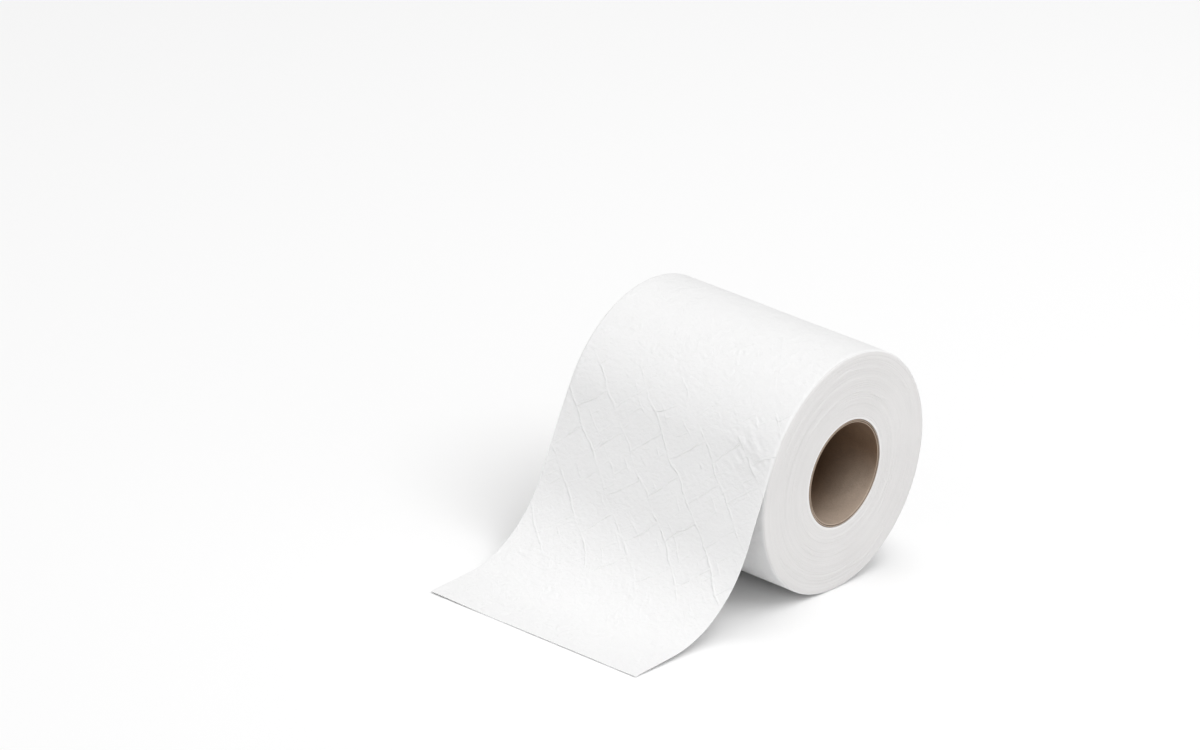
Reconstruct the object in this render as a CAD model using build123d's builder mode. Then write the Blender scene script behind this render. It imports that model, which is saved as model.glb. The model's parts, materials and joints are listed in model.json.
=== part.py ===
from build123d import *
import os
from math import cos, radians, sin, sqrt

# A bathroom tissue roll that lies on its side, with its last sheet pulled off the roll and laid on the table.
# +Y runs along the roll's axis, +X is the way the loose sheet points, and +Z is up. The origin lies on the
# table, under the axis and half way along it. Millimetres.

# the roll
sheet_width = 100.0  # along the axis
roll_radius = 49.0
rim_round = 0.6  # the soft edge that the log saw leaves on both ends
flat_width = 12.0  # the stripe on which the soft roll sits down

# the loose sheet, from where it leaves the roll down to the table
sheet_thickness = 0.3  # two plies with their embossing
leave_angle = 19.5  # above the height of the axis, seen from the axis
bend_radius = 45.0
end_slope = 5.0  # how far below level the sheet points where it ends
end_run = 23.5  # straight stretch behind the free end

# the cardboard core
core_radius = 21.7
core_wall = 1.4

half_width = sheet_width / 2
axis_height = sqrt(roll_radius**2 - (flat_width / 2) ** 2)
axis_plane = Plane.XZ.offset(-half_width)  # on the end face at +Y, with its local x along +X and local y up

# The sheet is straight, then bends up into a long sweep, then is straight again. Its first straight stretch is
# as long as brings the underside of the free end down to the table.
steep = radians(leave_angle)  # slope of the first stretch, from straight down
shallow = radians(90 - end_slope)
drop_to_table = axis_height + roll_radius * sin(steep) - sheet_thickness * sin(shallow)
bend_drop = bend_radius * (sin(shallow) - sin(steep))
first_run = (drop_to_table - bend_drop - end_run * cos(shallow)) / cos(steep)


# ---------------------------------------------------------------- paper: the wound turns and the loose sheet
with BuildPart() as paper_web:
    # the wound turns, a thick ring with rounded rims
    with BuildSketch(Plane.YZ):
        with Locations((0, axis_height + (roll_radius + core_radius) / 2)):
            ring = Rectangle(sheet_width, roll_radius - core_radius)
        fillet(ring.vertices().group_by(Axis.Y)[-1], rim_round)
    revolve(axis=Axis((0, 0, axis_height), (0, 1, 0)))
    # the last sheet, which leaves the roll along its tangent
    with BuildSketch(axis_plane):
        with BuildLine():
            leave_point = (roll_radius * cos(steep), axis_height + roll_radius * sin(steep))
            first = PolarLine(leave_point, first_run, leave_angle - 90)
            bend = JernArc(first @ 1, first % 1, bend_radius, 90 - end_slope - leave_angle)
            PolarLine(bend @ 1, end_run, -end_slope)
            offset(amount=sheet_thickness, side=Side.RIGHT)
        make_face()
    extrude(amount=sheet_width, dir=(0, -1, 0))
    # the flat stripe
    with BuildSketch(Plane.XY):
        Rectangle(4 * roll_radius, 2 * sheet_width)
    extrude(amount=-roll_radius, mode=Mode.SUBTRACT)

# ---------------------------------------------------------------- core: a spirally wound cardboard tube
with BuildPart() as core_tube:
    with BuildSketch(axis_plane):
        with Locations((0, axis_height)):
            Circle(core_radius)
            Circle(core_radius - core_wall, mode=Mode.SUBTRACT)
    extrude(amount=sheet_width, dir=(0, -1, 0))

os.makedirs("parts", exist_ok=True)
paper_web.part.label = "paper_web"
export_step(paper_web.part, "parts/paper_web.step")
core_tube.part.label = "core_tube"
export_step(core_tube.part, "parts/core_tube.step")

print(f"first straight stretch {first_run:.1f} mm, axis height {axis_height:.2f} mm")
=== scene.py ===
# %% [markdown]
# # A bathroom tissue roll with its last sheet pulled off
#
# The real thing has two pieces: one long strip of soft two-ply tissue, wound roughly 90 times and loose at
# its end, and the cardboard tube that it is wound on. The engineering model gives their sizes and places.
# This script makes them look right: the embossed sheet with its creases, the cut ends with the edges of
# all the turns, and the grey-brown board of the tube with its two plies.
#
# Everything is in metres. +Y runs along the roll, +X is where the loose sheet points, and +Z is up.

# %% Load the engineering model
import json
from math import cos, pi, radians, sin

import bmesh
import bpy
from mathutils import Matrix, Vector


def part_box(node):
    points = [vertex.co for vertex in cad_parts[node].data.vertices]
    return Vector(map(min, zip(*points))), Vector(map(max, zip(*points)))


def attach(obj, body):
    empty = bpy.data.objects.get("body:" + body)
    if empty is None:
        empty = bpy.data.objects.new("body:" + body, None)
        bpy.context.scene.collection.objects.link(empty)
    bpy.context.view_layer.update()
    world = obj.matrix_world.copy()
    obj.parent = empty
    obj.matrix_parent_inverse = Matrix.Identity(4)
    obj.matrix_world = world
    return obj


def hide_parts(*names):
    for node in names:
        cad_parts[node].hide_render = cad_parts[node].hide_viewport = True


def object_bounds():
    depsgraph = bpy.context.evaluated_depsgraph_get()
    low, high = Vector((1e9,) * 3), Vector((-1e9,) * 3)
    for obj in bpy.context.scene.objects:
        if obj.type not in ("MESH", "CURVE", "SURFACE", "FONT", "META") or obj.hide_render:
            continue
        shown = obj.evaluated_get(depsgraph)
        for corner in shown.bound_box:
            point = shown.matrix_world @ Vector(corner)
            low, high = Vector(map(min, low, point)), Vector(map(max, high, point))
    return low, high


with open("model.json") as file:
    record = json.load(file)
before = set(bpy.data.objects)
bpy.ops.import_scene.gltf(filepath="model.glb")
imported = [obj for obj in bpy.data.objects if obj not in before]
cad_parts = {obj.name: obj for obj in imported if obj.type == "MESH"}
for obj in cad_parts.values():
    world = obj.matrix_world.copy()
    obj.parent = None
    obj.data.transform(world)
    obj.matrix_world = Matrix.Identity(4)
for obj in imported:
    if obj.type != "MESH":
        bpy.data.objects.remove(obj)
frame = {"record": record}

cad_box = [list(corner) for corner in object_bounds()]

# %% [markdown]
# ## Sizes
#
# The roll's radius, its width and the height of its axis are read from the engineering model, so that
# nothing has to be fitted afterwards. Only what that model simplifies is set here: how thick one sheet
# is, and the course of the loose sheet, which leaves the roll along its tangent, bends once and runs out
# on the table.

# %% Read the sizes
MM = 0.001
mounts = {mount["name"]: mount for mount in frame["record"]["mounts"]}
axis_height = mounts["core_bore"]["pos_m"][2]
bore_radius = mounts["core_bore"]["dims"]["r_mm"] * MM
core_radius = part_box("core_tube")[1].x
half_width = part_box("paper_web")[1].y
roll_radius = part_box("paper_web")[1].z - axis_height

ply_joint = core_radius - 0.58 * (core_radius - bore_radius)  # between the two strips of board
sheet_thickness = 0.28 * MM
turn_pitch = 0.30 * MM  # from one turn to the next
leave_angle = radians(19.5)  # where the sheet leaves the roll, above the level of the axis
bend_radius = 45 * MM
end_slope = radians(5)
end_run = 23.5 * MM
print(f"roll {2000 * roll_radius:.1f} mm across and {2000 * half_width:.1f} mm wide")
print(f"core {2000 * core_radius:.1f} mm across")

# %% [markdown]
# ## The camera
#
# A long lens, far away, keeps the roll's edges nearly parallel. The camera stands in front of the loose
# sheet and to the side, so that it looks along the sheet and into the core, and it leans a little. It is
# made first, because everything else is judged through it.

# %% Place the camera
azimuth, elevation, lean = radians(127.6), radians(22.77), radians(4.77)
camera_distance = 3.44
aim_left, aim_up = 31.9 * MM, 31.1 * MM  # from the middle of the object to the middle of the view
toward_camera = Vector((sin(azimuth) * cos(elevation), -cos(azimuth) * cos(elevation), sin(elevation)))
level_right = toward_camera.cross(Vector((0, 0, -1))).normalized()
level_up = toward_camera.cross(level_right)
camera_right = level_right * cos(lean) + level_up * sin(lean)
camera_up = toward_camera.cross(camera_right)
middle = (Vector(cad_box[0]) + Vector(cad_box[1])) / 2
aim = middle - camera_right * aim_left + camera_up * aim_up
camera = bpy.data.objects.new("camera", bpy.data.cameras.new("camera"))
camera.data.sensor_width = 36
camera.data.lens = 272
axes = Matrix((camera_right, camera_up, toward_camera)).transposed().to_4x4()
camera.matrix_world = Matrix.Translation(aim + toward_camera * camera_distance) @ axes
bpy.context.scene.collection.objects.link(camera)
bpy.context.scene.camera = camera
print("camera at", [round(x, 3) for x in camera.matrix_world.translation])

# %% [markdown]
# ## Helpers for node trees
#
# Shapes and finishes are both built from nodes. put() adds one node, sets its properties and fills its
# sockets with values or links. calc() and vec() are short forms for arithmetic on numbers and vectors,
# and ease() is the soft step that most masks are made of.

# %% Small builders for nodes
def put(tree, kind, sockets=None, **settings):
    made = tree.nodes.new(kind)
    for name, value in settings.items():
        setattr(made, name, value)
    for key, value in (sockets or {}).items():
        if isinstance(value, bpy.types.NodeSocket):
            tree.links.new(value, made.inputs[key])
        else:
            made.inputs[key].default_value = value
    return made


def calc(tree, operation, *values):
    return put(tree, "ShaderNodeMath", dict(enumerate(values)), operation=operation).outputs[0]


def vec(tree, operation, *values):
    return put(tree, "ShaderNodeVectorMath", dict(enumerate(values)), operation=operation).outputs[0]


def scaled(tree, vector, factor):
    return put(tree, "ShaderNodeVectorMath", {0: vector, 3: factor}, operation="SCALE").outputs[0]


def ease(tree, value, start, stop, low=0.0, high=1.0, shape="SMOOTHSTEP"):
    sockets = {0: value, 1: start, 2: stop, 3: low, 4: high}
    return put(tree, "ShaderNodeMapRange", sockets, interpolation_type=shape).outputs[0]


def noise(tree, vector, scale, detail=2.0, distortion=0.0):
    sockets = {"Vector": vector, "Scale": scale, "Detail": detail, "Distortion": distortion}
    return put(tree, "ShaderNodeTexNoise", sockets)


def grouped(tree, kind, group, sockets):
    """a node group placed in a tree, and its outputs"""
    made = tree.nodes.new(kind)
    made.node_tree = group
    for key, value in sockets.items():
        if isinstance(value, bpy.types.NodeSocket):
            tree.links.new(value, made.inputs[key])
        else:
            made.inputs[key].default_value = value
    return made.outputs


def total(tree, *values):
    result = values[0]
    for value in values[1:]:
        result = calc(tree, "ADD", result, value)
    return result


def new_group(name, kind, inputs, outputs):
    """a node group with named sockets, and the sockets that its own nodes link to"""
    tree = bpy.data.node_groups.new(name, kind)
    for label, socket_type, value in inputs:
        socket = tree.interface.new_socket(label, in_out="INPUT", socket_type=socket_type)
        if value is not None:
            socket.default_value = value
    for label, socket_type in outputs:
        tree.interface.new_socket(label, in_out="OUTPUT", socket_type=socket_type)
    return tree, put(tree, "NodeGroupInput").outputs, put(tree, "NodeGroupOutput").inputs


# %% [markdown]
# ## The course of the outer turn
#
# The last turn and the loose sheet are one strip, so they are one mesh. Seen from the end, its outer face
# is a spiral once round the roll, then a straight stretch, an arc and another straight stretch that ends
# on the table. The strip starts a few degrees under its own end, where nothing can be seen. The first
# straight stretch takes whatever length brings the free end down to the table.

# %% Draw the course as a curve
hidden_lap = radians(10)
around = 2 * pi + hidden_lap
steep, shallow = leave_angle, pi / 2 - end_slope  # slopes, measured from straight down
drop = axis_height + roll_radius * sin(steep) - sheet_thickness * sin(shallow)
first_run = (drop - bend_radius * (sin(shallow) - sin(steep)) - end_run * cos(shallow)) / cos(steep)
bend_length = bend_radius * (shallow - steep)
loose_length = first_run + bend_length + end_run
wound_length = around * (roll_radius - turn_pitch / 2)
strip_length = wound_length + loose_length


def course(count=1400):
    """evenly spaced points along the outer face of the strip, seen from the end of the roll"""
    corner = Vector((roll_radius * cos(steep), 0, axis_height + roll_radius * sin(steep)))
    bend_start = corner + first_run * Vector((sin(steep), 0, -cos(steep)))
    bend_end = bend_start + bend_radius * Vector((cos(steep) - cos(shallow), 0, sin(steep) - sin(shallow)))
    for i in range(count + 1):
        past = i / count * strip_length - wound_length
        if past < 0:
            angle = -past / wound_length * around
            radius = roll_radius - turn_pitch * angle / (2 * pi)
            yield Vector((radius * cos(steep + angle), 0, axis_height + radius * sin(steep + angle)))
        elif past < first_run:
            yield corner + past * Vector((sin(steep), 0, -cos(steep)))
        elif past < first_run + bend_length:
            slope = steep + (past - first_run) / bend_radius
            yield bend_start + bend_radius * Vector((cos(steep) - cos(slope), 0, sin(steep) - sin(slope)))
        else:
            yield bend_end + (past - first_run - bend_length) * Vector((sin(shallow), 0, -cos(shallow)))


def curve_object(name, points, closed=False):
    data = bpy.data.curves.new(name, "CURVE")
    data.dimensions = "3D"
    line = data.splines.new("POLY")
    line.points.add(len(points) - 1)
    for target, point in zip(line.points, points):
        target.co = (*point, 1)
    line.use_cyclic_u = closed
    made = bpy.data.objects.new(name, data)
    bpy.context.scene.collection.objects.link(made)
    return made


print(f"outer turn {1000 * wound_length:.0f} mm, loose sheet {1000 * loose_length:.1f} mm")

# %% [markdown]
# ## The embossing
#
# A steel roll presses a pattern into the two plies, and winding and handling crease them along it. It
# shows where the sheet hangs free: a broken lattice of staggered rectangles at 45 degrees to the sheet,
# with slightly puffed cells, and every crease a small ridge. Where the sheet is wound tight or lies flat
# it is nearly smoothed out, and only soft wrinkles and a few thin curling lines are left. The crepe, a
# fine grain, is everywhere. The same field is needed twice: coarse, to move the points of the mesh, and
# fine, to bump the surface between them. So one function draws it, once as a geometry group and once as a
# shader group. It reads the sheet's own flat coordinates, in metres: along the sheet, and across it.

# %% Set the sizes of the embossing
FLOAT, VECTOR, COLOR = "NodeSocketFloat", "NodeSocketVector", "NodeSocketColor"
CELL = 19.0  # mm, the long side of a cell of the lattice
SMALL_CELL = CELL * 0.46
CELL_TURN = radians(-44)  # the lattice against the length of the sheet
LINE_WIDTH, SMALL_LINE_WIDTH, BROADEST_LINE = 0.034, 0.07, 0.125  # of a cell
HANGS_FROM, HANGS_TO = (-26.0, -8.0), (56.0, 72.0)  # mm past the line where the sheet leaves the roll
BORDER_SWING = 20.0  # mm, how far those borders wander
TUG = (wound_length / MM - 2.0, 38.0, 0.0)  # mm, where the near edge is gathered
print(f"lattice of {CELL:.1f} and {SMALL_CELL:.1f} mm cells")


# %% Draw the parts of the embossing
def lattice(tree, place_mm, cell, line_width):
    """1 on the lines of a staggered lattice, fading to 0 beside them; line_width is in cells"""
    sockets = {"Vector": scaled(tree, place_mm, 1 / cell), "Scale": 1.0, "Mortar Size": line_width,
               "Mortar Smooth": 1.0, "Brick Width": 1.0, "Row Height": 0.84}
    return put(tree, "ShaderNodeTexBrick", sockets, offset=0.42).outputs["Fac"]


def hanging_free(tree, flat_mm):
    """1 where the sheet hangs free, with an uneven border"""
    along = put(tree, "ShaderNodeSeparateXYZ", {0: flat_mm}).outputs[0]
    past = calc(tree, "SUBTRACT", along, wound_length / MM)
    wander = noise(tree, flat_mm, 0.05, 1.0).outputs["Fac"]
    past = calc(tree, "ADD", past, calc(tree, "MULTIPLY_ADD", wander, 2 * BORDER_SWING, -BORDER_SWING))
    return calc(tree, "MULTIPLY", ease(tree, past, *HANGS_FROM), ease(tree, past, *HANGS_TO, 1.0, 0.0))


def bent_lattice_place(tree, flat_mm):
    """the flat place, shaken and turned, so that no line of the lattice is quite straight"""
    half = (0.5, 0.5, 0.5)
    wander = vec(tree, "SUBTRACT", noise(tree, flat_mm, 0.05, 1.0).outputs["Color"], half)
    shake = vec(tree, "SUBTRACT", noise(tree, flat_mm, 0.22, 2.0).outputs["Color"], half)
    bent = vec(tree, "ADD", flat_mm, scaled(tree, wander, 6.0))
    bent = vec(tree, "ADD", bent, scaled(tree, shake, 1.4))
    sockets = {"Vector": bent, "Angle": CELL_TURN}
    return put(tree, "ShaderNodeVectorRotate", sockets, rotation_type="Z_AXIS").outputs[0]


def broken_creases(tree, flat_mm, turned):
    """the large lattice, which fades out in places, and patches of a smaller one"""
    kept = ease(tree, noise(tree, flat_mm, 0.07, 2.0).outputs["Fac"], 0.38, 0.54, 0.2, 1.0)
    strength = ease(tree, noise(tree, flat_mm, 0.20, 2.0).outputs["Fac"], 0.35, 0.56, 0.35, 1.0)
    patches = ease(tree, noise(tree, flat_mm, 0.085, 1.0).outputs["Fac"], 0.52, 0.62, 0.0, 0.5)
    large = lattice(tree, turned, CELL, LINE_WIDTH)
    large = calc(tree, "MULTIPLY", large, calc(tree, "MULTIPLY", kept, strength))
    small = lattice(tree, turned, SMALL_CELL, SMALL_LINE_WIDTH)
    small = calc(tree, "MULTIPLY", small, calc(tree, "MULTIPLY", patches, strength))
    return calc(tree, "ADD", large, small)


def curls(tree, flat_mm):
    """soft curling wrinkles, and a few thin lines among them: the contour lines of a slow noise"""
    wrinkles = calc(tree, "SUBTRACT", noise(tree, flat_mm, 0.15, 2.5, 1.8).outputs["Fac"], 0.5)
    swirl = noise(tree, flat_mm, 0.035, 1.5, 0.9).outputs["Fac"]
    level = calc(tree, "FRACT", calc(tree, "MULTIPLY", swirl, 12.0))
    line = ease(tree, calc(tree, "ABSOLUTE", calc(tree, "SUBTRACT", level, 0.5)), 0.0, 0.38, 1.0, 0.0)
    some = ease(tree, noise(tree, flat_mm, 0.08, 2.0).outputs["Fac"], 0.28, 0.54)
    thin = calc(tree, "MULTIPLY", calc(tree, "MULTIPLY", line, some), 0.3)
    return calc(tree, "ADD", thin, calc(tree, "MULTIPLY", wrinkles, 3.0))


def gathers(tree, flat_mm):
    """a few short folds at the near edge, where the sheet was tugged off the roll"""
    from_tug = vec(tree, "SUBTRACT", flat_mm, TUG)
    distance = put(tree, "ShaderNodeVectorMath", {0: from_tug}, operation="LENGTH").outputs["Value"]
    near_tug = ease(tree, distance, 3.0, 17.0, 1.0, 0.0)
    sockets = {"Vector": from_tug, "Angle": radians(-62)}
    pulled = put(tree, "ShaderNodeVectorRotate", sockets, rotation_type="Z_AXIS").outputs[0]
    folds = noise(tree, vec(tree, "MULTIPLY", pulled, (0.05, 0.30, 1.0)), 1.0, 1.0).outputs["Fac"]
    ridge = ease(tree, calc(tree, "ABSOLUTE", calc(tree, "SUBTRACT", folds, 0.5)), 0.0, 0.12, 1.0, 0.0)
    return calc(tree, "MULTIPLY", ridge, near_tug)


# %% Build the embossing groups
def emboss_group(kind):
    outputs = [(name, FLOAT) for name in ("Creases", "Puff", "Curls", "Gathers", "Crepe")]
    tree, given, wanted = new_group("emboss", kind, [("Flat", VECTOR, None)], outputs)
    flat_mm = scaled(tree, given["Flat"], 1 / MM)
    free = hanging_free(tree, flat_mm)
    turned = bent_lattice_place(tree, flat_mm)
    tree.links.new(calc(tree, "MULTIPLY", broken_creases(tree, flat_mm, turned), free), wanted["Creases"])
    puffed = calc(tree, "SUBTRACT", 1.0, lattice(tree, turned, CELL, BROADEST_LINE))
    tree.links.new(calc(tree, "MULTIPLY", puffed, free), wanted["Puff"])
    pressed_out = calc(tree, "MULTIPLY_ADD", free, -0.7, 1.0)  # the curls fade where the lattice shows
    tree.links.new(calc(tree, "MULTIPLY", curls(tree, flat_mm), pressed_out), wanted["Curls"])
    tree.links.new(gathers(tree, flat_mm), wanted["Gathers"])
    grain_place = vec(tree, "MULTIPLY", flat_mm, (1.0, 0.8, 1.0))
    grain = calc(tree, "SUBTRACT", noise(tree, grain_place, 0.72, 2.0, 0.3).outputs["Fac"], 0.5)
    plumper = calc(tree, "MULTIPLY_ADD", free, 0.3, 0.7)
    tree.links.new(calc(tree, "MULTIPLY", grain, plumper), wanted["Crepe"])
    return tree


emboss = {kind: emboss_group(kind) for kind in ("GeometryNodeTree", "ShaderNodeTree")}
print("embossing built for shapes and for finishes, cells of", CELL, "mm")

# %% [markdown]
# ## The outer turn and the loose sheet, as a tree of geometry nodes
#
# The shape follows a rule: a flat grid of paper is laid along the course. Each point of the grid knows
# how far along and across the sheet it is, so the tree samples the course there, steps across, and then
# lifts the point by the embossing. The grid is closer where the sheet shows from the front, and closest
# at the two long edges, which the log saw leaves rounded.

# %% Build the tree that lays the sheet
FRONT_ARC = radians(100)  # the part of the turn before the sheet leaves the roll, with the closer grid
fine_length = loose_length + FRONT_ARC * roll_radius
fine_rows, coarse_rows, columns, edge_columns = 242, 112, 112, 3
EDGE_PART = 0.01  # of the width, at each long edge
DRAWN_IN = 0.30 * MM


def finished(tree, shape, material):
    """the common last steps of every tree: smooth, real geometry with its finish on it"""
    smooth = put(tree, "GeometryNodeSetShadeSmooth", {0: shape})
    real = put(tree, "GeometryNodeRealizeInstances", {0: smooth.outputs[0]})
    sockets = {"Geometry": real.outputs[0], "Material": material}
    return put(tree, "GeometryNodeSetMaterial", sockets).outputs[0]


def spread(tree, share, stops):
    """a piecewise straight map of a share from 0 to 1, through the given (share, value) pairs"""
    parts = [ease(tree, share, stops[0][0], stops[1][0], stops[0][1], stops[1][1], "LINEAR")]
    for (start, low), (stop, high) in zip(stops[1:], stops[2:]):
        parts.append(ease(tree, share, start, stop, 0.0, high - low, "LINEAR"))
    return total(tree, *parts)


def flat_grid(tree):
    """the flat grid, how far along the strip a point is, and its share of the width from the middle"""
    rows, across_count = fine_rows + coarse_rows, columns + 2 * edge_columns
    grid = put(tree, "GeometryNodeMeshGrid", {0: 1.0, 1: 1.0, 2: rows + 1, 3: across_count + 1}).outputs[0]
    place = put(tree, "ShaderNodeSeparateXYZ", {0: put(tree, "GeometryNodeInputPosition").outputs[0]}).outputs
    share_along = calc(tree, "ADD", place[0], 0.5)
    share_across = calc(tree, "ADD", place[1], 0.5)
    coarse_length = strip_length - fine_length
    along = spread(tree, share_along, [(0, 0), (coarse_rows / rows, coarse_length), (1, strip_length)])
    edge_share = edge_columns / across_count
    stops = [(0, -0.5), (edge_share, EDGE_PART - 0.5), (1 - edge_share, 0.5 - EDGE_PART), (1, 0.5)]
    return grid, along, spread(tree, share_across, stops)


def sheet_relief(tree, given, flat, along, loose):
    """the embossing, and a slow ripple that is stronger where the sheet is loose"""
    pattern = grouped(tree, "GeometryNodeGroup", emboss["GeometryNodeTree"], {"Flat": flat})
    shown = ease(tree, along, 0.0, 30 * MM)
    relief = total(tree, calc(tree, "MULTIPLY", pattern["Creases"], given["Crease height"]),
                   calc(tree, "MULTIPLY", pattern["Puff"], given["Puff height"]),
                   calc(tree, "MULTIPLY", pattern["Gathers"], given["Gather height"]))
    slow = noise(tree, scaled(tree, flat, 1 / MM), 0.028, 1.5).outputs["Fac"]
    wave = calc(tree, "MULTIPLY", calc(tree, "SUBTRACT", slow, 0.5), given["Ripple"])
    wave = calc(tree, "MULTIPLY", wave, calc(tree, "ADD", calc(tree, "MULTIPLY", loose, 0.4), 0.6))
    return calc(tree, "MULTIPLY", calc(tree, "ADD", relief, wave), shown)


def end_lift(tree, given, along, from_middle):
    """the free end stands just off the table, its far corner most"""
    to_end = ease(tree, along, strip_length - 26 * MM, strip_length)
    far_corner = ease(tree, from_middle, -0.22, -0.5)
    near_corner = ease(tree, from_middle, 0.35, 0.5, 0.0, 0.25)
    shape = calc(tree, "MULTIPLY", to_end, total(tree, 0.6, far_corner, near_corner))
    return calc(tree, "MULTIPLY", shape, given["Corner lift"])


def sheet_tree():
    inputs = [("Course", "NodeSocketGeometry", None), ("Width", FLOAT, 0.1), ("Crease height", FLOAT, 0.0001)]
    inputs += [("Puff height", FLOAT, 0.0001), ("Gather height", FLOAT, 0.0003), ("Ripple", FLOAT, 0.0002)]
    inputs += [("Edge round", FLOAT, 0.0003), ("Corner lift", FLOAT, 0.001)]
    inputs += [("Finish", "NodeSocketMaterial", None)]
    outputs = [("Sheet", "NodeSocketGeometry")]
    tree, given, wanted = new_group("lay sheet", "GeometryNodeTree", inputs, outputs)
    grid, along, from_middle = flat_grid(tree)
    across = calc(tree, "MULTIPLY", from_middle, given["Width"])
    flat = put(tree, "ShaderNodeCombineXYZ", {0: along, 1: across}).outputs[0]

    sockets = {"Curves": given["Course"], "Length": along}
    sample = put(tree, "GeometryNodeSampleCurve", sockets, mode="LENGTH").outputs
    outward = vec(tree, "CROSS_PRODUCT", sample["Tangent"], (0, 1, 0))
    loose = ease(tree, calc(tree, "SUBTRACT", along, wound_length), -5 * MM, 20 * MM)
    tight = calc(tree, "SUBTRACT", 1.0, loose)
    relief = sheet_relief(tree, given, flat, along, loose)
    edge = ease(tree, calc(tree, "ABSOLUTE", from_middle), 0.5 - EDGE_PART, 0.5, shape="LINEAR")
    rounding = calc(tree, "MULTIPLY", calc(tree, "MULTIPLY", edge, edge), given["Edge round"])
    relief = calc(tree, "SUBTRACT", relief, calc(tree, "MULTIPLY", rounding, tight))
    relief = calc(tree, "ADD", relief, end_lift(tree, given, along, from_middle))

    # where it is wound, the sheet is drawn in a little from both end faces
    tucked = calc(tree, "SUBTRACT", 1.0, calc(tree, "MULTIPLY", tight, DRAWN_IN / half_width))
    sideways = put(tree, "ShaderNodeCombineXYZ", {1: calc(tree, "MULTIPLY", across, tucked)}).outputs[0]
    point = vec(tree, "ADD", vec(tree, "ADD", sample["Position"], sideways), scaled(tree, outward, relief))
    parts = put(tree, "ShaderNodeSeparateXYZ", {0: point}).outputs
    lowest = ease(tree, loose, 0.0, 1.0, 0.0, sheet_thickness, "LINEAR")
    resting = calc(tree, "MAXIMUM", parts[2], lowest)
    point = put(tree, "ShaderNodeCombineXYZ", {0: parts[0], 1: parts[1], 2: resting}).outputs[0]

    # the flat place is captured before the points move, and kept as the sheet's own coordinates
    captured = put(tree, "GeometryNodeCaptureAttribute", {"Geometry": grid})
    captured.capture_items.new("VECTOR", "Flat")
    tree.links.new(flat, captured.inputs["Flat"])
    sockets = {"Geometry": captured.outputs["Geometry"], "Position": point}
    laid = put(tree, "GeometryNodeSetPosition", sockets).outputs[0]
    sockets = {"Geometry": laid, "Name": "flat", "Value": captured.outputs["Flat"]}
    kept = put(tree, "GeometryNodeStoreNamedAttribute", sockets, data_type="FLOAT2", domain="CORNER")
    tree.links.new(finished(tree, kept.outputs[0], given["Finish"]), wanted["Sheet"])
    return tree


def made_by(tree, name, base, inputs):
    """runs a tree on a base object and keeps the result as a plain mesh object"""
    modifier = base.modifiers.new("tree", "NODES")
    modifier.node_group = tree
    identifiers = {item.name: item.identifier for item in tree.interface.items_tree if item.in_out == "INPUT"}
    for label, value in inputs.items():
        modifier[identifiers[label]] = value
    bpy.context.view_layer.update()
    shape = base.evaluated_get(bpy.context.evaluated_depsgraph_get())
    mesh = bpy.data.meshes.new_from_object(shape)
    made = bpy.data.objects.new(name, mesh)
    mesh.name = name
    bpy.context.scene.collection.objects.link(made)
    bpy.data.objects.remove(base)
    return made


def thicken(piece, thickness):
    """gives a single-layer sheet its thickness, inwards from its outer face"""
    solid = piece.modifiers.new("thickness", "SOLIDIFY")
    solid.thickness = thickness
    solid.offset = -1
    bpy.context.view_layer.update()
    mesh = bpy.data.meshes.new_from_object(piece.evaluated_get(bpy.context.evaluated_depsgraph_get()))
    piece.modifiers.clear()
    piece.data = mesh
    mesh.name = piece.name
    mesh.set_sharp_from_angle(angle=radians(50))


# %% [markdown]
# ## Finishes
#
# Tissue is a mat of short fibres: matte, nearly white, a little see-through, and never quite even. Its
# cut ends are the same fibres seen end-on, packed in turns, and look a shade greyer. The core is recycled
# board, grey brown with darker and lighter fibres. All three share one effect, the uneven mat of fibres,
# so that is a group with a colour and a height.

# %% Build the fibre group
def fibre_group():
    inputs = [("Place", VECTOR, None), ("Base", COLOR, (1, 1, 1, 1)), ("Clouds per mm", FLOAT, 0.1)]
    inputs += [("Cloudiness", FLOAT, 0.02), ("Speck amount", FLOAT, 0.02)]
    outputs = [("Color", COLOR), ("Height", FLOAT)]
    tree, given, wanted = new_group("fibre mat", "ShaderNodeTree", inputs, outputs)
    place_mm = scaled(tree, given["Place"], 1 / MM)
    clouds = noise(tree, place_mm, given["Clouds per mm"], 3.0).outputs["Fac"]
    fibres = noise(tree, place_mm, 2.6, 4.0, 0.8).outputs["Fac"]
    fine = calc(tree, "MULTIPLY", calc(tree, "SUBTRACT", fibres, 0.5), given["Speck amount"])
    broad = calc(tree, "MULTIPLY", calc(tree, "SUBTRACT", clouds, 0.5), given["Cloudiness"])
    shade = total(tree, 1.0, broad, fine)
    tree.links.new(scaled(tree, given["Base"], shade), wanted["Color"])
    tree.links.new(fibres, wanted["Height"])
    return tree


fibre_mat = fibre_group()

# %% [markdown]
# ## The three finishes
#
# Paper and board are matte, so nearly all of their look is in the bump and in small steps of tone. The
# heights below are in millimetres. The tissue adds the embossing, fine, to the same embossing that its
# mesh has coarse. The cut ends get rings, because no two turns were cut or pressed quite alike, and also
# some painted sheen and a painted highlight on the first turns next to the core. The board has painted
# shade deep inside the tube and painted light low down near its ends.

# %% Set tones and bump heights
TISSUE_TONE = (0.855, 0.854, 0.854, 1)
CREASE_BUMP, CURL_BUMP, CREPE_BUMP, TISSUE_MAT_BUMP = 0.20, 0.13, 0.22, 0.03
ENDS_TONE = (0.775, 0.763, 0.758, 1)
RING_BUMP, WIDE_RING_BUMP, ENDS_MAT_BUMP = 0.22, 0.5, 0.05
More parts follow.
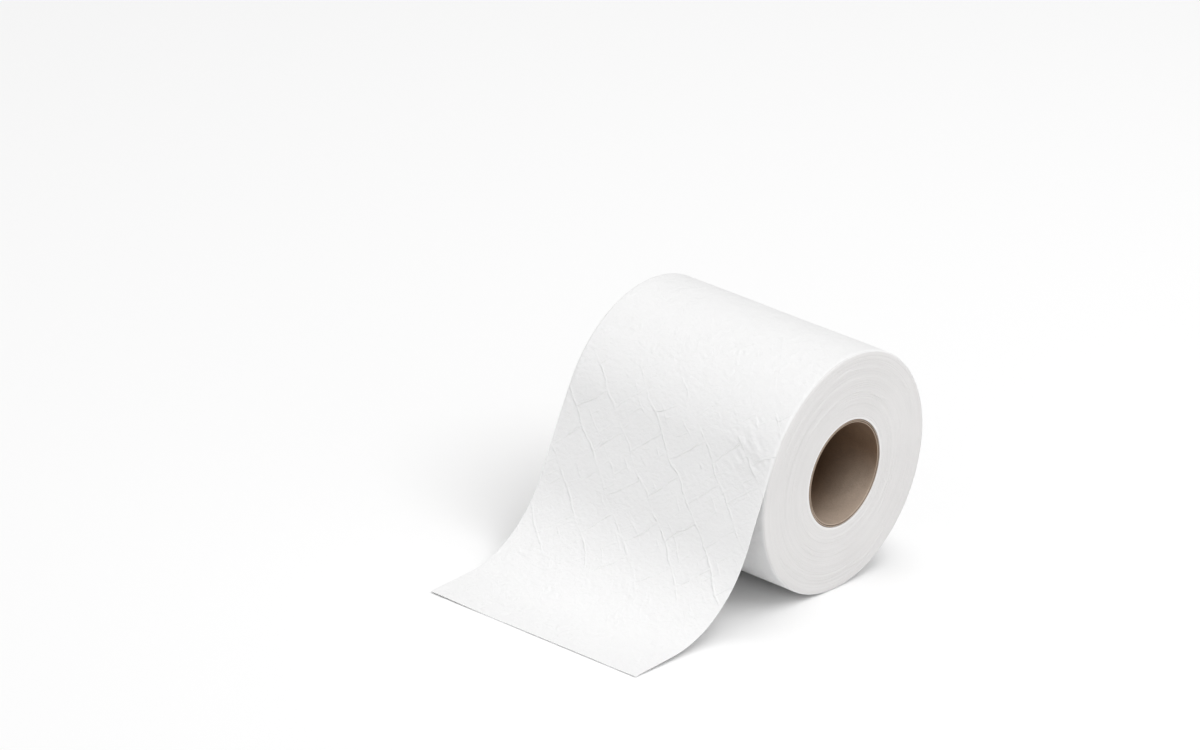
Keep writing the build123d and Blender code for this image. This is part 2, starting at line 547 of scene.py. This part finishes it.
# the board's two tones: the dark one is painted shade, deep inside the tube; the pale one is for the cut, and
# for painted light low down near the ends
BOARD_IN_PAINTED_SHADE, PALE_BOARD = (0.165, 0.098, 0.055, 1), (0.50, 0.40, 0.32, 1)
CUT_PALENESS, BOARD_MAT_BUMP = 0.75, 0.08
print("bump heights of the tissue in mm:", CREASE_BUMP, CURL_BUMP, CREPE_BUMP, TISSUE_MAT_BUMP)


# %% Build the three finishes
def new_material(name):
    material = bpy.data.materials.new(name)
    material.use_nodes = True
    tree = material.node_tree
    shader = next(n for n in tree.nodes if n.type == "BSDF_PRINCIPLED")
    return material, tree, shader


def bump(tree, shader, height_mm):
    made = put(tree, "ShaderNodeBump", {"Height": height_mm, "Distance": MM, "Strength": 1.0})
    tree.links.new(made.outputs[0], shader.inputs["Normal"])


def seen_from_axis(tree, parts):
    """a place on the roll, seen along its axis, and its distance from the axis"""
    sockets = {0: parts[0], 1: calc(tree, "SUBTRACT", parts[2], axis_height)}
    from_axis = put(tree, "ShaderNodeCombineXYZ", sockets).outputs[0]
    return from_axis, put(tree, "ShaderNodeVectorMath", {0: from_axis}, operation="LENGTH").outputs["Value"]


def tissue_finish():
    material, tree, shader = new_material("embossed_tissue")
    flat = put(tree, "ShaderNodeUVMap", uv_map="flat").outputs[0]
    pattern = grouped(tree, "ShaderNodeGroup", emboss["ShaderNodeTree"], {"Flat": flat})
    sockets = {"Place": flat, "Base": TISSUE_TONE, "Clouds per mm": 0.06}
    mat = grouped(tree, "ShaderNodeGroup", fibre_mat, sockets)
    height = total(tree,
                   calc(tree, "MULTIPLY", pattern["Creases"], CREASE_BUMP),
                   calc(tree, "MULTIPLY", pattern["Curls"], CURL_BUMP),
                   calc(tree, "MULTIPLY", pattern["Crepe"], CREPE_BUMP),
                   calc(tree, "MULTIPLY", mat["Height"], TISSUE_MAT_BUMP))
    tree.links.new(mat["Color"], shader.inputs["Base Color"])
    bump(tree, shader, height)
    shader.inputs["Roughness"].default_value = 0.9
    shader.inputs["Specular IOR Level"].default_value = 0.25
    shader.inputs["Sheen Weight"].default_value = 0.15
    shader.inputs["Sheen Roughness"].default_value = 0.6
    shader.inputs["Subsurface Weight"].default_value = 0.5
    shader.inputs["Subsurface Radius"].default_value = (1.0, 1.0, 1.0)
    shader.inputs["Subsurface Scale"].default_value = 0.25 * MM
    return material


def ends_finish():
    material, tree, shader = new_material("cut_ends_of_turns")
    place = put(tree, "ShaderNodeTexCoord").outputs["Object"]
    parts = put(tree, "ShaderNodeSeparateXYZ", {0: place}).outputs
    from_axis, radius = seen_from_axis(tree, parts)
    radius = calc(tree, "MULTIPLY", radius, 1 / MM)
    slow = put(tree, "ShaderNodeSeparateXYZ", {0: scaled(tree, from_axis, 12.0)}).outputs
    per_ring, per_wide_ring = 2.2, 0.45  # steps of the noise in each mm outwards
    outwards = calc(tree, "MULTIPLY", radius, per_ring)
    rings_at = put(tree, "ShaderNodeCombineXYZ", {0: slow[0], 1: slow[1], 2: outwards})
    rings = noise(tree, rings_at.outputs[0], 1.0, 2.0).outputs["Fac"]
    outwards = calc(tree, "MULTIPLY", radius, per_wide_ring)
    wide_at = put(tree, "ShaderNodeCombineXYZ", {0: slow[0], 1: slow[1], 2: outwards})
    wide = noise(tree, wide_at.outputs[0], 1.0, 2.0).outputs["Fac"]
    sockets = {"Place": place, "Base": ENDS_TONE, "Clouds per mm": 0.12}
    mat = grouped(tree, "ShaderNodeGroup", fibre_mat, sockets)
    # painted sheen: soft lighter and darker patches on the cut ends
    painted_sheen_patches = noise(tree, scaled(tree, from_axis, 26.0), 1.0, 1.0).outputs["Fac"]
    shade = total(tree, 0.893, calc(tree, "MULTIPLY", rings, 0.07), calc(tree, "MULTIPLY", wide, 0.05),
                  calc(tree, "MULTIPLY", painted_sheen_patches, 0.11))
    # a painted highlight: a pale ring on the first turns, next to the core
    painted_highlight_near_core = ease(tree, radius, core_radius / MM + 0.5, core_radius / MM + 1.1, 0.12, 0.0)
    shade = calc(tree, "ADD", shade, painted_highlight_near_core)
    tree.links.new(scaled(tree, mat["Color"], shade), shader.inputs["Base Color"])
    height = total(tree,
                   calc(tree, "MULTIPLY", rings, RING_BUMP),
                   calc(tree, "MULTIPLY", wide, WIDE_RING_BUMP),
                   calc(tree, "MULTIPLY", mat["Height"], ENDS_MAT_BUMP))
    bump(tree, shader, height)
    shader.inputs["Roughness"].default_value = 0.95
    shader.inputs["Specular IOR Level"].default_value = 0.15
    shader.inputs["Sheen Weight"].default_value = 0.1
    return material


def board_finish():
    material, tree, shader = new_material("recycled_board")
    place = put(tree, "ShaderNodeTexCoord").outputs["Object"]
    parts = put(tree, "ShaderNodeSeparateXYZ", {0: place}).outputs
    # a guess, painted shade and light: dark deep inside the tube, where shade falls, and paler towards the
    # ends, most of all low down, where light falls in
    near_end = ease(tree, calc(tree, "ABSOLUTE", parts[1]), half_width - 27 * MM, half_width - 3 * MM)
    low = ease(tree, parts[2], axis_height + 5 * MM, axis_height - 15 * MM, 0.08, 1.0)
    painted_light_low_at_ends = calc(tree, "MULTIPLY", near_end, low)
    _, radius = seen_from_axis(tree, parts)
    cut = ease(tree, radius, bore_radius + 0.02 * MM, bore_radius + 0.12 * MM, 0.0, CUT_PALENESS)
    pale_cut_and_painted_light = calc(tree, "MAXIMUM", painted_light_low_at_ends, cut)
    base = put(tree, "ShaderNodeMix", {0: pale_cut_and_painted_light, 6: BOARD_IN_PAINTED_SHADE, 7: PALE_BOARD}, data_type="RGBA").outputs[2]
    # the cut shows a dark line of glue between the plies, and another where the first turn of tissue starts
    from_joint = calc(tree, "ABSOLUTE", calc(tree, "SUBTRACT", radius, ply_joint))
    glue = ease(tree, from_joint, 0.08 * MM, 0.26 * MM, 0.45, 1.0)
    first_turn = ease(tree, radius, core_radius - 0.42 * MM, core_radius - 0.20 * MM, 1.0, 0.55)
    base = scaled(tree, base, calc(tree, "MULTIPLY", glue, first_turn))
    sockets = {"Place": place, "Base": base, "Clouds per mm": 0.25, "Cloudiness": 0.25, "Speck amount": 0.5}
    mat = grouped(tree, "ShaderNodeGroup", fibre_mat, sockets)
    tree.links.new(mat["Color"], shader.inputs["Base Color"])
    bump(tree, shader, calc(tree, "MULTIPLY", mat["Height"], BOARD_MAT_BUMP))
    shader.inputs["Roughness"].default_value = 0.8
    shader.inputs["Specular IOR Level"].default_value = 0.3
    return material


tissue, cut_ends, board = tissue_finish(), ends_finish(), board_finish()
print("finishes:", [m.name for m in (tissue, cut_ends, board)])

# %% [markdown]
# ## Laying the sheet
#
# Now the tree of the sheet runs once along its course, with its sizes filled in, and its single layer
# gets the thickness of two-ply tissue with a Solidify modifier, inwards, so that the outer face stays
# where the course is.

# %% Make the outer turn and the loose sheet
course_points = list(course())
sheet_sizes = {"Width": 2 * half_width, "Crease height": 0.08 * MM, "Puff height": 0.06 * MM}
sheet_sizes |= {"Gather height": 0.4 * MM, "Ripple": 0.55 * MM, "Edge round": 0.55 * MM}
sheet_sizes |= {"Corner lift": 0.35 * MM, "Finish": tissue}
course_line = curve_object("course", course_points)
outer_sheet = made_by(sheet_tree(), "outer_turn_and_loose_sheet", course_line, sheet_sizes)
thicken(outer_sheet, sheet_thickness)
print("outer sheet:", len(outer_sheet.data.polygons), "faces")

# %% [markdown]
# ## The wound turns
#
# All the turns below the outermost are one ring. Only its two ends show, where the log saw cut the turns:
# flat on the whole, with rings where the tension of the winding changed, and rounded at the rim. It is a
# lathe shape, so a half section is swept round the axis with Curve to Mesh, and the ring relief moves its
# points afterwards. The section lies at the ring's middle radius, with its x outwards and its y along the
# axis.

# %% Build the lathe group
def lathe_group():
    inputs = [("Section", "NodeSocketGeometry", None), ("Sweep radius", FLOAT, 0.03)]
    inputs += [("Steps", "NodeSocketInt", 256)]
    outputs = [("Mesh", "NodeSocketGeometry"), ("Radius", FLOAT), ("Turned", FLOAT), ("Outward", VECTOR)]
    tree, given, wanted = new_group("lathe", "GeometryNodeTree", inputs, outputs)
    sockets = {"Resolution": given["Steps"], "Radius": given["Sweep radius"]}
    circle = put(tree, "GeometryNodeCurvePrimitiveCircle", sockets)
    sockets = {"Curve": circle.outputs[0], "Profile Curve": given["Section"]}
    swept = put(tree, "GeometryNodeCurveToMesh", sockets)
    # the sweep's axis is Z, and the roll's is Y
    upright = put(tree, "GeometryNodeTransform", {"Geometry": swept.outputs[0], "Rotation": (pi / 2, 0, 0)})
    tree.links.new(upright.outputs[0], wanted["Mesh"])
    parts = put(tree, "ShaderNodeSeparateXYZ", {0: put(tree, "GeometryNodeInputPosition").outputs[0]}).outputs
    radial = put(tree, "ShaderNodeCombineXYZ", {0: parts[0], 2: parts[2]}).outputs[0]
    distance = put(tree, "ShaderNodeVectorMath", {0: radial}, operation="LENGTH").outputs["Value"]
    tree.links.new(distance, wanted["Radius"])
    # the share of a turn since the place where the sheet leaves the roll
    angle = calc(tree, "SUBTRACT", calc(tree, "ARCTAN2", parts[2], parts[0]), leave_angle)
    share = calc(tree, "FRACT", calc(tree, "ADD", calc(tree, "DIVIDE", angle, 2 * pi), 1.0))
    tree.links.new(share, wanted["Turned"])
    tree.links.new(vec(tree, "NORMALIZE", radial), wanted["Outward"])
    return tree


lathe = lathe_group()


# %% Build the tree of the wound turns
def turns_tree():
    inputs = [("Section", "NodeSocketGeometry", None), ("Sweep radius", FLOAT, 0.03)]
    inputs += [("Ring relief", FLOAT, 0.0002), ("Proud turns", FLOAT, 0.0001), ("Rim round", FLOAT, 0.0006)]
    inputs += [("Finish", "NodeSocketMaterial", None)]
    outputs = [("Ring", "NodeSocketGeometry")]
    tree, given, wanted = new_group("wound turns", "GeometryNodeTree", inputs, outputs)
    sockets = {"Section": given["Section"], "Sweep radius": given["Sweep radius"], "Steps": 360}
    made = grouped(tree, "GeometryNodeGroup", lathe, sockets)
    parts = put(tree, "ShaderNodeSeparateXYZ", {0: put(tree, "GeometryNodeInputPosition").outputs[0]}).outputs
    # the outer wall follows the inner face of the strip, which lies one pitch lower after each turn
    lap = calc(tree, "LESS_THAN", made["Turned"], hidden_lap / (2 * pi))
    sink = calc(tree, "MULTIPLY", calc(tree, "ADD", made["Turned"], lap), turn_pitch)
    wall = roll_radius - sheet_thickness
    near_wall = ease(tree, made["Radius"], roll_radius - 3 * MM, wall, 0.0, 1.0, "LINEAR")
    sink = calc(tree, "MULTIPLY", calc(tree, "MULTIPLY", sink, near_wall), -1.0)
    inward = scaled(tree, made["Outward"], sink)
    # ring relief on the two ends
    radius_mm = calc(tree, "MULTIPLY", made["Radius"], 1 / MM)
    slow = scaled(tree, made["Outward"], 0.35)
    slow_parts = put(tree, "ShaderNodeSeparateXYZ", {0: slow}).outputs
    side = calc(tree, "SIGN", parts[1])
    per_side = calc(tree, "ADD", slow_parts[2], side)  # so that the two ends differ
    sockets = {0: slow_parts[0], 1: per_side, 2: calc(tree, "MULTIPLY", radius_mm, 0.30)}
    bands = put(tree, "ShaderNodeCombineXYZ", sockets).outputs[0]
    broad = calc(tree, "SUBTRACT", noise(tree, bands, 1.0, 2.0).outputs["Fac"], 0.5)
    fine_at = vec(tree, "MULTIPLY", bands, (1.0, 1.0, 5.0))
    fine = calc(tree, "SUBTRACT", noise(tree, fine_at, 1.0, 1.0).outputs["Fac"], 0.5)
    fine = calc(tree, "MULTIPLY", fine, 0.35)
    relief = calc(tree, "MULTIPLY", calc(tree, "ADD", broad, fine), given["Ring relief"])
    # two turns that stand a little proud on part of the way round, and are not quite round
    around_at = put(tree, "ShaderNodeCombineXYZ", {0: slow_parts[0], 1: slow_parts[2], 2: side}).outputs[0]
    drift = calc(tree, "SUBTRACT", noise(tree, around_at, 4.0, 1.0).outputs["Fac"], 0.5)
    for share, half_of_the_way in ((0.42, 1), (0.76, -1)):
        at_radius = core_radius + share * (roll_radius - core_radius)
        away = calc(tree, "SUBTRACT", made["Radius"], at_radius)
        away = calc(tree, "ADD", away, calc(tree, "MULTIPLY", drift, 7 * MM))
        turn = ease(tree, calc(tree, "ABSOLUTE", away), 0.1 * MM, 0.6 * MM, 1.0, 0.0)
        partly = ease(tree, calc(tree, "MULTIPLY", drift, half_of_the_way), -0.04, 0.06)
        proud = calc(tree, "MULTIPLY", calc(tree, "MULTIPLY", turn, partly), given["Proud turns"])
        relief = calc(tree, "ADD", relief, proud)
    rim = ease(tree, made["Radius"], roll_radius - 1.6 * MM, wall, shape="LINEAR")
    rounding = calc(tree, "MULTIPLY", calc(tree, "MULTIPLY", rim, rim), given["Rim round"])
    relief = calc(tree, "SUBTRACT", relief, rounding)
    at_end = ease(tree, calc(tree, "ABSOLUTE", parts[1]), half_width - 3 * MM, half_width - 1 * MM)
    outwards = calc(tree, "MULTIPLY", calc(tree, "MULTIPLY", relief, at_end), side)
    offset = vec(tree, "ADD", inward, put(tree, "ShaderNodeCombineXYZ", {1: outwards}).outputs[0])
    ring = put(tree, "GeometryNodeSetPosition", {"Geometry": made["Mesh"], "Offset": offset})
    sockets = {"Geometry": ring.outputs[0], "Translation": (0, 0, axis_height)}
    lifted = put(tree, "GeometryNodeTransform", sockets)
    # the flat stripe that the roll sits on, one sheet above the table
    place = put(tree, "ShaderNodeSeparateXYZ", {0: put(tree, "GeometryNodeInputPosition").outputs[0]}).outputs
    sockets = {0: place[0], 1: place[1], 2: calc(tree, "MAXIMUM", place[2], sheet_thickness)}
    pressed = put(tree, "ShaderNodeCombineXYZ", sockets).outputs[0]
    seated = put(tree, "GeometryNodeSetPosition", {"Geometry": lifted.outputs[0], "Position": pressed})
    tree.links.new(finished(tree, seated.outputs[0], given["Finish"]), wanted["Ring"])
    return tree


def even(start, stop, count):
    """points from start towards stop, without the last"""
    return [start + (stop - start) * i / count for i in range(count)]


# %% Make the wound turns
inner, outer = core_radius, roll_radius - sheet_thickness
end_y = half_width - 0.1 * MM
sweep_radius = (inner + outer) / 2
ring_section = [(r, end_y) for r in even(inner, outer, 100)] + [(outer, y) for y in even(end_y, -end_y, 4)]
ring_section += [(r, -end_y) for r in even(outer, inner, 100)] + [(inner, y) for y in even(-end_y, end_y, 1)]
section = curve_object("ring section", [(r - sweep_radius, y, 0) for r, y in ring_section], closed=True)
wound_turns = made_by(turns_tree(), "wound_turns", section,
                      {"Sweep radius": sweep_radius, "Ring relief": 0.4 * MM, "Proud turns": 0.18 * MM,
                       "Rim round": 0.45 * MM, "Finish": cut_ends})
wound_turns.data.set_sharp_from_angle(angle=radians(50))
print("wound turns:", len(wound_turns.data.polygons), "faces")

# %% [markdown]
# ## The core tube
#
# Two strips of board are wound on a mandrel and glued. At its ends the cut shows both plies with the glue
# line between them, the inner ply a little lower and rounded by the knife. The tube is turned on the same
# lathe as the ring, from its own section.

# %% Build the tree of the tube
def tube_tree():
    inputs = [("Section", "NodeSocketGeometry", None), ("Sweep radius", FLOAT, 0.02)]
    inputs += [("Seam depth", FLOAT, 0.0001), ("Seam pitch", FLOAT, 0.06)]
    inputs += [("Finish", "NodeSocketMaterial", None)]
    outputs = [("Tube", "NodeSocketGeometry")]
    tree, given, wanted = new_group("core tube", "GeometryNodeTree", inputs, outputs)
    sockets = {"Section": given["Section"], "Sweep radius": given["Sweep radius"], "Steps": 256}
    made = grouped(tree, "GeometryNodeGroup", lathe, sockets)
    parts = put(tree, "ShaderNodeSeparateXYZ", {0: put(tree, "GeometryNodeInputPosition").outputs[0]}).outputs
    phase = calc(tree, "FRACT", calc(tree, "ADD", calc(tree, "DIVIDE", parts[1], given["Seam pitch"]),
                                     calc(tree, "ADD", made["Turned"], 4.0)))
    seam = ease(tree, calc(tree, "ABSOLUTE", calc(tree, "SUBTRACT", phase, 0.5)), 0.0, 0.012, 1.0, 0.0)
    inside = ease(tree, made["Radius"], bore_radius, bore_radius + 0.2 * MM, 1.0, 0.0)
    depth = calc(tree, "MULTIPLY", calc(tree, "MULTIPLY", seam, inside), given["Seam depth"])
    offset = scaled(tree, made["Outward"], depth)
    ring = put(tree, "GeometryNodeSetPosition", {"Geometry": made["Mesh"], "Offset": offset})
    sockets = {"Geometry": ring.outputs[0], "Translation": (0, 0, axis_height)}
    lifted = put(tree, "GeometryNodeTransform", sockets)
    tree.links.new(finished(tree, lifted.outputs[0], given["Finish"]), wanted["Tube"])
    return tree


# %% Make the core tube
rim = [(core_radius, -1.5), (core_radius - 0.05 * MM, -0.65), (core_radius - 0.26 * MM, -0.55),
       (core_radius - 0.32 * MM, -0.14), (core_radius - 0.42 * MM, -0.04), (ply_joint + 0.14 * MM, -0.04),
       (ply_joint + 0.08 * MM, -0.12), (ply_joint + 0.05 * MM, -0.42), (ply_joint - 0.12 * MM, -0.45),
       (ply_joint - 0.16 * MM, -0.16), (ply_joint - 0.24 * MM, -0.10), (bore_radius + 0.22 * MM, -0.10),
       (bore_radius + 0.10 * MM, -0.18), (bore_radius + 0.03 * MM, -0.36), (bore_radius, -0.7),
       (bore_radius, -1.5)]
front_rim = [(radius, half_width + depth * MM) for radius, depth in rim]
back_rim = [(radius, -y) for radius, y in reversed(front_rim)]
wall_end = half_width - 1.5 * MM
bore_line = [(bore_radius, y) for y in even(wall_end, -wall_end, 120)[1:]]
outside_line = [(core_radius, y) for y in even(-wall_end, wall_end, 12)[1:]]
tube_section = front_rim + bore_line + back_rim + outside_line
tube_sweep = (core_radius + bore_radius) / 2
section = curve_object("tube section", [(r - tube_sweep, y, 0) for r, y in tube_section], closed=True)
core_tube = made_by(tube_tree(), "spiral_core_tube", section,
                    {"Sweep radius": tube_sweep, "Seam depth": 0.12 * MM, "Seam pitch": 62 * MM,
                     "Finish": board})
core_tube.data.set_sharp_from_angle(angle=radians(40))
print("core tube:", len(core_tube.data.polygons), "faces")

# %% [markdown]
# ## Which way the faces point
#
# A lathe turned the wrong way round gives a solid that is inside out. The signed volume of each closed
# piece says so at once: it has to be positive.

# %% Turn every piece the right way out
def signed_volume(mesh):
    mesh.calc_loop_triangles()
    places = [v.co for v in mesh.vertices]
    corners = [[places[i] for i in triangle.vertices] for triangle in mesh.loop_triangles]
    return sum(a.dot(b.cross(c)) for a, b, c in corners) / 6


for piece in (outer_sheet, wound_turns, core_tube):
    volume = signed_volume(piece.data)
    if volume < 0:
        piece.data.flip_normals()
        volume = signed_volume(piece.data)
    edges = bmesh.new()
    edges.from_mesh(piece.data)
    open_edges = sum(not e.is_manifold for e in edges.edges)
    edges.free()
    print(f"{piece.name}: volume {volume * 1e6:.2f} cm3, open edges {open_edges}")

# %% [markdown]
# ## What each piece stands for
#
# All three pieces ride on the one body. The outer sheet and the turns below it stand for the paper of the
# engineering model, and the tube for its core.

for piece, node, slot in ((outer_sheet, "paper_web", "tissue"), (wound_turns, "paper_web", "tissue"),
                          (core_tube, "core_tube", "core_board")):
    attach(piece, "root")
    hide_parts(node)

# %% [markdown]
# ## The table and the light
#
# The roll lies on a white table that runs out of view. Two large soft lamps hang above it, one almost
# straight overhead and one over the near end, so that the top of the roll and the flat part of the sheet
# are the brightest, and the steep part of the sheet between them is a shade darker. The surround is a soft
# gradient, bright on the side that the loose sheet points to and dim behind the roll, which models the
# round forms without a hard shadow.

# %% Make the table
TABLE_REACH = 12.0  # metres, to all sides
table_mesh = bpy.data.meshes.new("table")
corners = [(-TABLE_REACH, -TABLE_REACH, 0), (TABLE_REACH, -TABLE_REACH, 0)]
corners += [(TABLE_REACH, TABLE_REACH, 0), (-TABLE_REACH, TABLE_REACH, 0)]
table_mesh.from_pydata(corners, [], [(0, 1, 2, 3)])
table = bpy.data.objects.new("table", table_mesh)
bpy.context.scene.collection.objects.link(table)
table_white, _, shader = new_material("table_white")
shader.inputs["Base Color"].default_value = (0.97, 0.97, 0.97, 1)
shader.inputs["Roughness"].default_value = 0.9
shader.inputs["Specular IOR Level"].default_value = 0.0
table_mesh.materials.append(table_white)

# %% Hang the lamps and set the surround
LAMP_DISTANCE, LAMP_SIZE = 2.5, 1.7  # metres


def soft_lamp(name, direction, power):
    """a large round lamp that looks at the middle of the roll"""
    lamp = bpy.data.lights.new(name, "AREA")
    lamp.shape = "DISK"
    lamp.size = LAMP_SIZE
    lamp.energy = power
    made = bpy.data.objects.new(name, lamp)
    away = Vector(direction).normalized()
    facing = away.to_track_quat("Z", "Y").to_matrix().to_4x4()
    made.matrix_world = Matrix.Translation(middle + away * LAMP_DISTANCE) @ facing
    bpy.context.scene.collection.objects.link(made)
    return lamp


lamps = [soft_lamp("overhead_lamp", (-0.13, 0, 1), 20.5), soft_lamp("core_side_lamp", (0, 0.5, 0.87), 21.5)]

SURROUND_LEVEL, SURROUND_SWING = 0.49, 0.37
bright_side = Vector((0.92, 0.38, 0)).normalized()
world = bpy.data.worlds.new("surround")
world.use_nodes = True
background = next(n for n in world.node_tree.nodes if n.type == "BACKGROUND")
background.inputs["Color"].default_value = (1, 1, 1, 1)
direction = put(world.node_tree, "ShaderNodeTexCoord").outputs["Generated"]
sockets = {0: direction, 1: bright_side}
sideways = put(world.node_tree, "ShaderNodeVectorMath", sockets, operation="DOT_PRODUCT")
swing = calc(world.node_tree, "MULTIPLY_ADD", sideways.outputs["Value"], SURROUND_SWING, SURROUND_LEVEL)
world.node_tree.links.new(swing, background.inputs["Strength"])
bpy.context.scene.world = world
bpy.context.scene.view_settings.view_transform = "Standard"
print("lamps", [lamp.energy for lamp in lamps], "W; surround", SURROUND_LEVEL, "+-", SURROUND_SWING)
